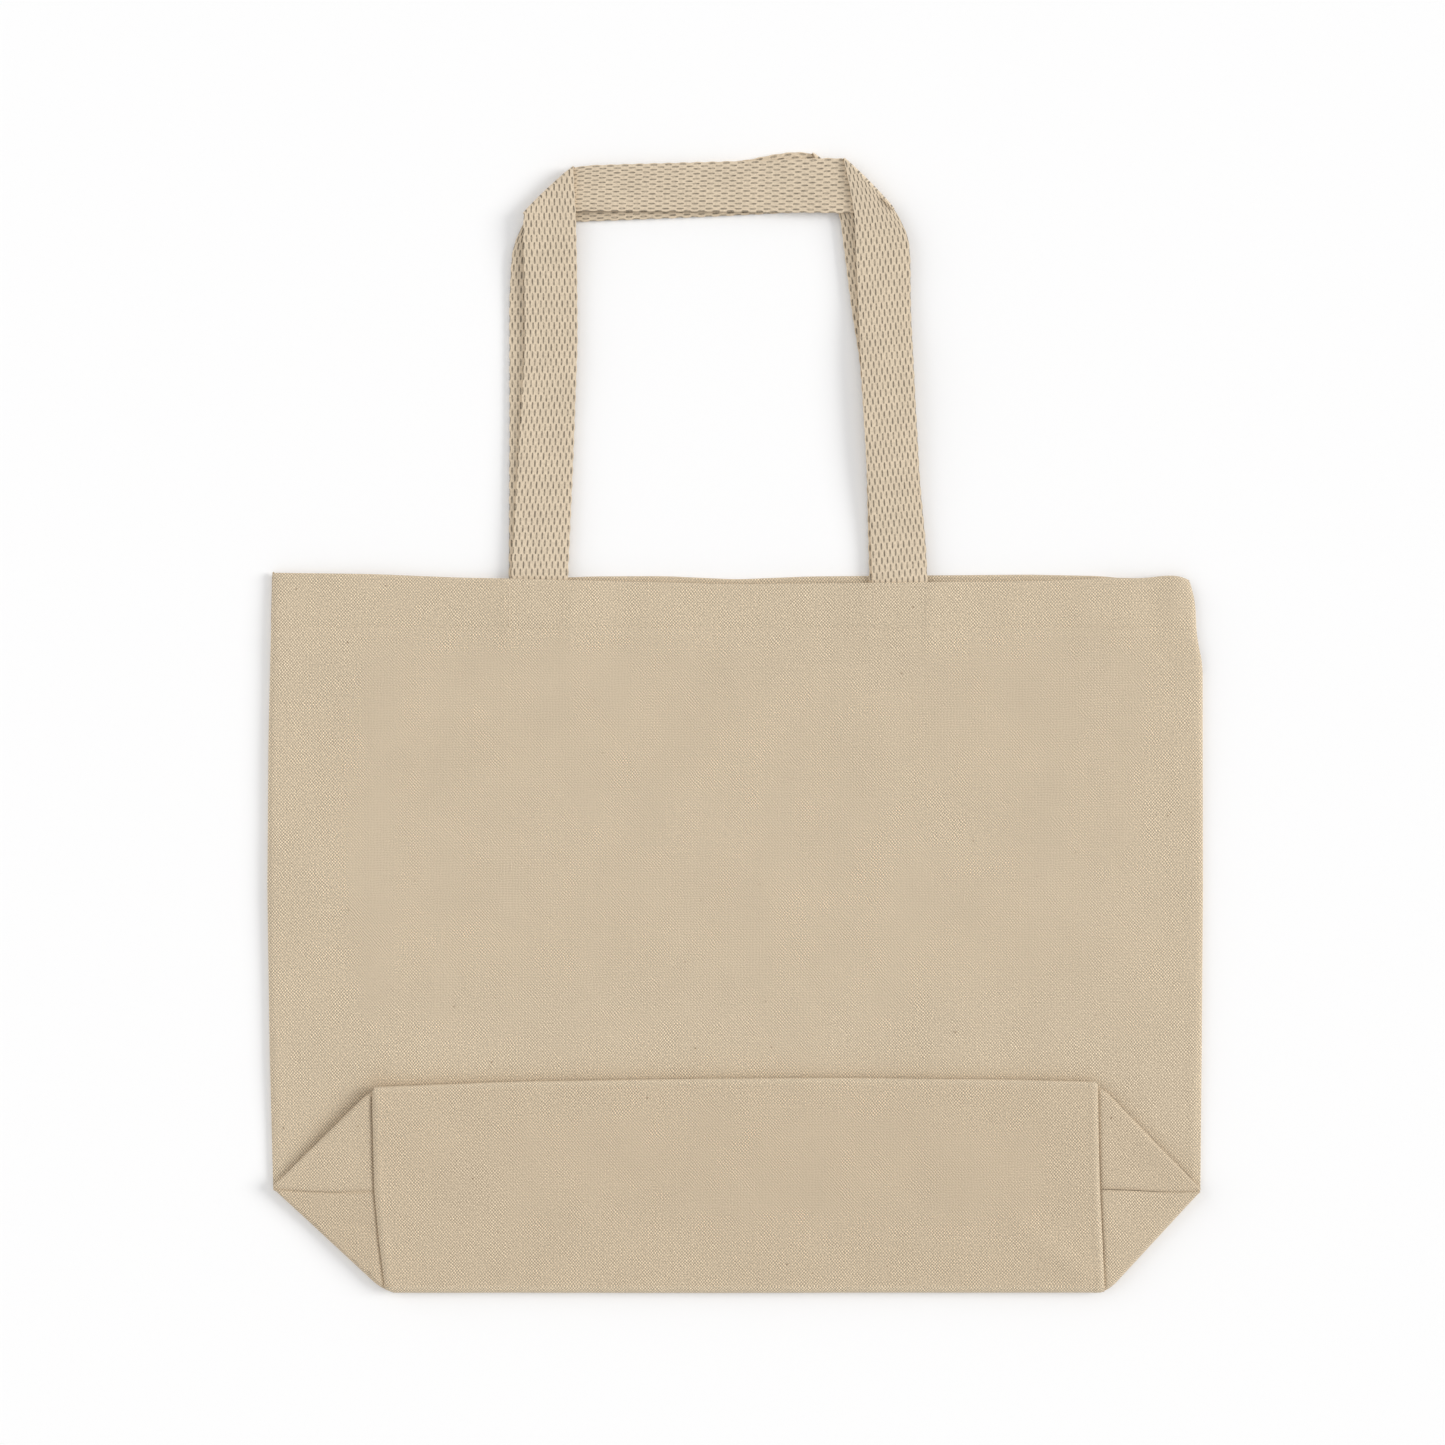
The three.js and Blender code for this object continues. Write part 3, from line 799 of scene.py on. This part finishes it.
def gusset_piece(word, side, up):
    """One corner triangle, the diagonal fold at its edge, and what lies under that fold.

    up is 1 for the triangle above the side seam, and -1 for the one below it.
    """
    tip_x, tip_y = TIP[word]
    tip_out = side * tip_x
    seam_x = CORNER_SEAM[word]
    seam_end = 113 if up > 0 else 0  # the corner seam's y at the triangle's knee
    if up > 0:
        first = side * seam_x(110) - 3
        knee = (side * seam_x(seam_end), FLAP_TOP(seam_x(seam_end)) - 0.8)
        outline = smooth_line([(first - 8, knee[1] - 1.2), knee, (tip_out, tip_y + 0.6), (270, tip_y - 15)])
    else:
        first = side * seam_x(3) - 6
        knee = (side * seam_x(seam_end) + 0.5, 0.3 if side < 0 else -1.0)
        outline = smooth_line([(first - 8, 0.9), knee, (tip_out, tip_y - 0.8), (270, tip_y + 17)])
    x = np.concatenate([steps(first, knee[0] + 4, 1.0), steps(knee[0] + 4, tip_out, 1.8)[1:]])
    x = np.sort(side * x)
    y = outline(side * x)
    nx, ny = outward(x, y, up)
    limit = SIDE_SEAM_Y[word](x) + 0.06 * up

    def clear(values):
        """Keeps a row on its own side of the side seam."""
        return np.maximum(values, limit) if up > 0 else np.minimum(values, limit)

    far = ease(0, 25, tip_out - side * x)
    reach = (1.0 + 0.9 * far) if up > 0 else (1.4 + 1.7 * far)  # the fold is tighter near the tip
    inner_x, inner_y = x - nx * reach, clear(y - ny * reach)
    near_seam = 1 - ease(0, 50, side * (x - seam_x(60)))
    top_rows = []
    for share in np.linspace(0, 1, 24):
        row_y = inner_y + (limit - inner_y) * share
        row_x = inner_x + (seam_x(row_y) - seam_x(seam_end)) * near_seam
        top_rows.append(row(row_x, row_y, gusset_height(word, side, row_x, row_y)))
    z_top = top_rows[0][:, 2]
    z_low = fold_height(inner_y) if up > 0 else 0.9 + 0 * x
    z_edge = z_low + 1.25 if up > 0 else 3.0 + 0 * x  # the row on the very edge, where the fold turns
    round_rows = []
    for angle in np.linspace(0, math.pi, 13)[1:-1]:
        out = reach * math.sin(angle)
        half = z_top - z_edge if angle < math.pi / 2 else z_edge - z_low
        round_rows.append(row(inner_x + nx * out, inner_y + ny * out, z_edge + half * math.cos(angle)))
    low_rows = []
    start = STRIP_EDGE - 1  # under the flap the upper triangle's cloth begins at the end of the strip
    squeezed = side * (start + (side * inner_x - first) * (tip_out - start) / (tip_out - first))
    for share in np.linspace(0, 1, 9):
        if up > 0:
            row_x = inner_x + (squeezed - inner_x) * min(1, 3 * share)
            row_y = inner_y + (np.minimum(HALF_GUSSET + 0.4, inner_y) - inner_y) * share
            low_rows.append(row(row_x, row_y, fold_height(row_y)))
        else:
            low_rows.append(row(inner_x, inner_y + (8 - reach) * share, z_low))
    rows = top_rows[::-1] + round_rows + low_rows
    grid = np.stack(rows if up > 0 else rows[::-1])
    grid[..., 2] = np.maximum(grid[..., 2], BACK_Z)
    return grid


def gusset_painted_light(grid, word, side, fold, painted_shade):
    """Painted highlight on the fold, where the sheet stands on edge (partly also the paler cloth of a rubbed
    crease), painted shade over the whole triangle, and a thin painted shade in the two seams.
    """
    x, y, z = np.moveaxis(grid, -1, 0)
    tone_mark = painted_shade + fold * (1 - np.abs(normals_of(grid)[..., 2])) ** 2
    in_seam = 0.5 * bell(y, SIDE_SEAM_Y[word](x), 0.7) + bell(side * (x - CORNER_SEAM[word](y)), 0.3, 0.7)
    return tone_mark - 0.22 * np.minimum(in_seam, 1) * (z > 4)  # only in the upper face


UPPER_SHADE = {"left": -0.034, "right": -0.052}  # painted shade: how much darker the triangles are painted than the front, though the cloth is the same
LOWER_SHADE = {"left": -0.062, "right": -0.030}


def corner_pieces():
    """The folded triangles at both ends of the flap, above and below the side seam."""
    for word, side in SIDES:
        grid = gusset_piece(word, side, 1)
        piece = canvas_sheet(f"gusset_upper_cloth_{word}", grid,
                             [f"gusset_upper_{word}", f"front_fold_corner_{word}"],
                             tone_mark=gusset_painted_light(grid, word, side, 0.06, UPPER_SHADE[word]))
        blend_along(piece, f"front_fold_corner_{word}", f"gusset_upper_{word}", (0, -LIFT / HALF_GUSSET, 1),
                    2.5, 2.8)
        grid = gusset_piece(word, side, -1)
        piece = canvas_sheet(f"gusset_lower_cloth_{word}", grid, [f"gusset_lower_{word}"],
                             from_end=True, tone_mark=gusset_painted_light(grid, word, side, 0.03, LOWER_SHADE[word]))
        blend_along(piece, f"back_side_{word}", f"gusset_lower_{word}", (0, 0, 1), 2.75, 3.25)


front_pieces()
back_pieces()
base_pieces()
corner_pieces()


# ---- handles

REACH = 1.7  # how far webbing bulges where it folds over itself
BLUNT = 0.45  # and the share of that at its edges
HANDLE_BEND = (387.5, 393.9)  # the y across the mouth where a handle bends as it swings over it; the straps are not bent here


def webbing_strip(name, left, run, right, leg_z, run_z, seed):
    """A webbing strap: up the left leg, folded over at a mitre, across under both legs, down the right.

    left and right hold x of the outer and inner edge by y, run holds y of the lower and upper edge by x,
    leg_z is the height of the legs' upper face by y, and run_z that of the run's lower face by x.
    """
    share = steps(0, 1, 1 / 14)
    corners = []  # where each leg's outer and inner edge meet the mitre, and the way out of the strap there
    for outer, inner in ((left["outer"], left["inner"]), (right["outer"], right["inner"])):
        a, b = np.array(outer[-1][::-1], float), np.array(inner[-1][::-1], float)
        along = (b - a) / np.linalg.norm(b - a)
        out = np.array([-along[1], along[0]])
        out = out if out[1] > 0 else -out
        corners.append((a - out * REACH * BLUNT, b - out * REACH * BLUNT, out))

    def leg(edges, corner):
        """Rows from the sewn end up to the mitre."""
        a_line, b_line = smooth_line(edges["outer"]), smooth_line(edges["inner"])
        a, b = corner[:2]
        foot = edges["outer"][0][0]
        rows = []
        for p in steps(0, 1, 0.0044):
            y_a, y_b = foot + p * (a[1] - foot), foot + p * (b[1] - foot)
            edge = np.array([[a_line(y_a), y_a], [b_line(y_b), y_b]])
            near = ease(0.93, 1, p)
            edge = edge * (1 - near) + np.array([a, b]) * near
            x, y = (edge[0] + (edge[1] - edge[0]) * share[:, None]).T
            arch = 3.2 * bell(y, 485, 55) * (x > 0)  # the right legs stand up half way along
            z = leg_z(y) + arch + 0.3 * waves(x * 2, y, 90, seed)
            z = z + 0.25 * (bell(share, 0.5, 0.45) - bell(share, 0, 0.07) - bell(share, 1, 0.07))
            rows.append(row(x, y, z))
        return rows

    up, down = leg(left, corners[0]), leg(right, corners[1])
    low, high = smooth_line(run["lower"]), smooth_line(run["upper"])
    flat_run = []
    for p in steps(0, 1, 0.006):
        near = max(1 - p / 0.06, (p - 0.94) / 0.06, 0)  # 1 at a mitre
        ends = []
        for k, line in ((0, low), (1, high)):
            start, end = corners[0][k], corners[1][k]
            x = start[0] + p * (end[0] - start[0])
            mitre_y = start[1] if p < 0.5 else end[1]
            ends.append([x, line(x) * (1 - near) + mitre_y * near])
        ends = np.array(ends)
        x, y = (ends[0] + (ends[1] - ends[0]) * share[:, None]).T
        flat_run.append(row(x, y, run_z(x) + 0.15 * waves(x, y, 80, seed + 1)))

    def over(upper, lower, out, count=9):
        """Rows round a mitre, from the leg's last row to the run's."""
        rows = []
        for angle in np.linspace(0, math.pi, count)[1:-1]:
            middle = upper * (1 + math.cos(angle)) / 2 + lower * (1 - math.cos(angle)) / 2
            bulge = REACH * (BLUNT + (0.9 - BLUNT) * np.sin(math.pi * share) ** 0.7)
            middle[:, :2] = lower[:, :2] + out * bulge[:, None] * math.sin(angle)
            rows.append(middle)
        return rows

    first = over(up[-1], flat_run[0], corners[0][2])
    last = over(down[-1], flat_run[-1], corners[1][2])[::-1]
    grid = np.stack(up + first + flat_run + last + down[::-1])
    v_a, v_b = rolled_uv(grid[:, [0, -1]], 0)[..., 1].T  # lengths along the two edges
    v = v_a[:, None] * (1 - share) + v_b[:, None] * share
    uv = np.stack([np.broadcast_to(share * WEB_WIDTH, v.shape), v], axis=2)
    across = grid[:, -1, :2] - grid[:, 0, :2]
    across = across / np.linalg.norm(across, axis=1, keepdims=True)
    ripple = 0.20 * np.sin(2 * math.pi * v / WEAVE_LENGTH)  # the weave scallops the strap's edges
    at_edge = np.clip(1 - (1 - share) * 14, 0, 1) - np.clip(1 - share * 14, 0, 1)
    grid[..., :2] += across[:, None, :] * (ripple * at_edge)[..., None]
    tone_mark = np.zeros(v.shape)
    run_start = len(up) + len(first)
    tone_mark[run_start:run_start + len(flat_run)] = 1
    return sheet(name, grid, uv, WEBBING, WEB, tone_mark=tone_mark)


def handles():
    """The two straps, with the frame's handle parts hidden."""
    back = webbing_strip(
        "back_webbing",
        {"outer": [(359, -124.2), (467, -123.7), (540, -123.8), (564, -122.6), (576, -120.4),
                   (583, -116.5)],
         "inner": [(359, -94.2), (467, -93.7), (540, -93.0), (590, -92.0), (608, -92.5)]},
        {"lower": [(-120, 583.2), (-87.6, 584.0), (-13, 586.9), (40, 589.5), (90, 589.0)],
         "upper": [(-100, 607.5), (-92, 608.0), (-30, 614.0), (6, 617.4), (20, 620.6), (34, 622.2),
                   (46, 621.6), (60, 620)]},
        {"outer": [(359, 102.0), (390, 102.0), (459, 98.0), (507, 95.0), (534, 92.0), (568, 87.5),
                   (589, 80.0)],
         "inner": [(359, 72.5), (390, 72.3), (459, 70.7), (507, 67.2), (534, 63.0), (568, 58.7), (587, 56.5),
                   (621.6, 42.0)]},
        smooth_line([(359, 3.5), (394, 3.5), (430, 2.9), (480, 2.6), (540, 2.9), (576, 3.8), (625, 3.8)]),
        smooth_line([(-130, 0.35), (130, 0.35)]),
        seed=41,
    )
    front = webbing_strip(
        "front_webbing",
        {"outer": [(359, -122.6), (391, -122.6), (450, -119.0), (517, -115.0), (560, -115.6),
                   (588.2, -116.2)],
         "inner": [(359, -92.6), (391, -91.7), (450, -89.0), (517, -86.5), (560, -86.8), (588, -87.4),
                   (613.6, -89.1)]},
        {"lower": [(-118, 588.3), (-87.6, 589.4), (0, 589.2), (55, 588.3), (90, 588.6)],
         "upper": [(-100, 613.2), (-89, 613.8), (-60, 614.8), (0, 616.5), (58.7, 618.3), (70, 618.6)]},
        {"outer": [(359, 104.5), (388.5, 104.0), (409, 103.0), (442, 99.8), (484, 97.4), (534, 94.9),
                   (566, 94.6), (579, 92.6), (590.6, 86.0)],
         "inner": [(359, 74.4), (388.5, 74.0), (417, 72.9), (470, 69.6), (517, 67.2), (587, 64.3),
                   (618.3, 58.7)]},
        smooth_line([(359, 5.2), (394, 5.2), (430, 5.0), (480, 4.9), (540, 5.5), (576, 7.2), (625, 7.4)]),
        smooth_line([(-130, 3.75), (-80, 3.7), (-40, 3.0), (20, 3.0), (50, 3.7), (130, 3.75)]),
        seed=43,
    )
    for word, piece in (("back", back), ("front", front)):
        nodes = [f"{word}_handle", f"{word}_handle_end_left", f"{word}_handle_end_right"]
        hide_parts(*nodes)
        place(0, HANDLE_BEND[0], 0)
        place(0, HANDLE_BEND[1], 0)
        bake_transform(piece)


# ---- stitching

STITCH_RADIUS = 0.36


def stitches(name, paths, height, nodes, length=2.5, pitch=3.2):
    """Rows of separate stitches lying on the cloth along straight paths."""
    verts, faces, uv = [], [], []
    rings = np.linspace(-0.88, 0.88, 4)
    turns = np.linspace(0, 2 * math.pi, 7)[:-1]
    for start, end in paths:
        start, end = np.array(start, float), np.array(end, float)
        reach = np.linalg.norm(end - start)
        along = (end - start) / reach
        side = np.array([-along[1], along[0]])
        for k in range(int(reach / pitch)):
            middle = start + along * (k + 0.5) * reach / int(reach / pitch)
            first = len(verts)
            for s in (-1.0, *rings, 1.0):
                width = STITCH_RADIUS * math.sqrt(max(0.0, 1 - s * s)) ** 0.6
                around = turns if abs(s) < 1 else turns[:1]
                for angle in around:
                    flat = middle + along * s * length / 2 + side * width * math.cos(angle)
                    rise = 0.04 + 0.26 * width / STITCH_RADIUS * math.sin(angle)
                    z = float(height(flat[0], flat[1])) + rise
                    verts.append((flat[0], flat[1], z))
                    uv.append((width * math.cos(angle) + k * 5, s * length / 2))
            count = len(turns)
            last = first + 1 + len(rings) * count
            for j in range(count):
                after = (j + 1) % count
                faces.append((first, first + 1 + after, first + 1 + j))
                for ring in range(len(rings) - 1):
                    a = first + 1 + ring * count
                    faces.append((a + j, a + after, a + count + after, a + count + j))
                faces.append((last, last - count + j, last - count + after))
    piece = new_object(name, np.array(verts), faces, np.array(uv), THREAD)
    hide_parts(*nodes)
    return piece


def box_paths(x_low, x_high, y_low, y_high):
    """The four sides of a stitched rectangle."""
    a, b, c, d = (x_low, y_low), (x_high, y_low), (x_high, y_high), (x_low, y_high)
    return [(a, b), (b, c), (c, d), (d, a)]


def stitching():
    """The line of stitches in each hem, and the stitched squares on the handle ends."""

    def hem_paths(*spans):
        return [((start, STITCH_Y), (end, STITCH_Y)) for start, end in spans]

    between_handles = hem_paths((-INNER, -123), (-92, 74), (104, INNER))
    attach(stitches("front_hem_stitches", between_handles, front_height, ["front_hem_stitch"]), "front")
    across = hem_paths((-INNER, INNER))
    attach(stitches("back_hem_stitches", across, lambda x, y: BACK_HEM_Z, ["back_hem_stitch"]), "back")
    side_spans = {"left": (-250, -INNER), "right": (INNER, 249)}
    for word, side in SIDES:
        piece = stitches(f"front_hem_stitches_{word}", hem_paths(side_spans[word]), front_height,
                         [f"front_hem_stitch_{word}"])
        blend_along(piece, "front", f"front_side_{word}", (side, 0, 0), *BEND)
    boxes = {"left": (-123.6, -94.0), "right": (74.6, 103.4)}
    low_y, high_y = STITCH_Y + 1, 385
    for word, (low, high) in boxes.items():
        for handle, narrower, surface in (("front", 0, front_height), ("back", 2.5, lambda x, y: 3.6)):
            paths = box_paths(low, high - narrower, low_y, high_y)
            piece = stitches(f"{handle}_handle_stitches_{word}", paths, surface,
                             [f"{handle}_handle_stitch_{word}"])
            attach(piece, handle)


handles()
stitching()


# ---- floor, light and camera


FLOOR_SIZE = 60.0  # metres, so that its far edge is never seen as a horizon
VIEW_WIDTH = 789  # what the picture shows of the bag's plane, and the flat point at its middle
VIEW_CENTRE = (-7.6, 310.7)


def studio():
    """A white floor, two broad soft lights, and the photo's view straight down."""
    scene = bpy.context.scene
    scene.view_settings.view_transform = "Standard"
    scene.view_settings.look = "None"
    mesh = bpy.data.meshes.new("floor")
    half = FLOOR_SIZE / 2
    corners = [(-half, -half, 0), (half, -half, 0), (half, half, 0), (-half, half, 0)]
    mesh.from_pydata(corners, [], [(0, 1, 2, 3)])
    floor = linked("floor", mesh)
    g = Graph("floor_paper")
    g.shader.inputs["Base Color"].default_value = (0.974, 0.976, 0.982, 1)
    g.shader.inputs["Roughness"].default_value = 0.9
    g.shader.inputs["Specular IOR Level"].default_value = 0.1
    mesh.materials.append(g.material)

    world = bpy.data.worlds.new("studio")
    world.use_nodes = True
    background = world.node_tree.nodes["Background"]
    background.inputs["Color"].default_value = (1, 1, 1, 1)
    background.inputs["Strength"].default_value = 0.645
    scene.world = world

    for name, energy, spread, travels in (
        ("key", 1.86, 26, (-0.88, -0.12, -0.45)),
        ("fill", 0.86, 55, (0.86, -0.32, -0.38)),
    ):
        light = bpy.data.lights.new(name, "SUN")
        light.energy = energy
        light.angle = math.radians(spread)
        light.color = (1.0, 0.99, 0.975)
        lamp = linked(name, light)
        lamp.rotation_euler = Vector(travels).to_track_quat("-Z", "Y").to_euler()

    camera = bpy.data.cameras.new("camera")
    camera.lens = 85
    camera.sensor_width = 36
    camera.clip_end = 30
    eye = linked("camera", camera)
    eye.location = place(*VIEW_CENTRE, VIEW_WIDTH * camera.lens / camera.sensor_width)
    scene.camera = eye


studio()
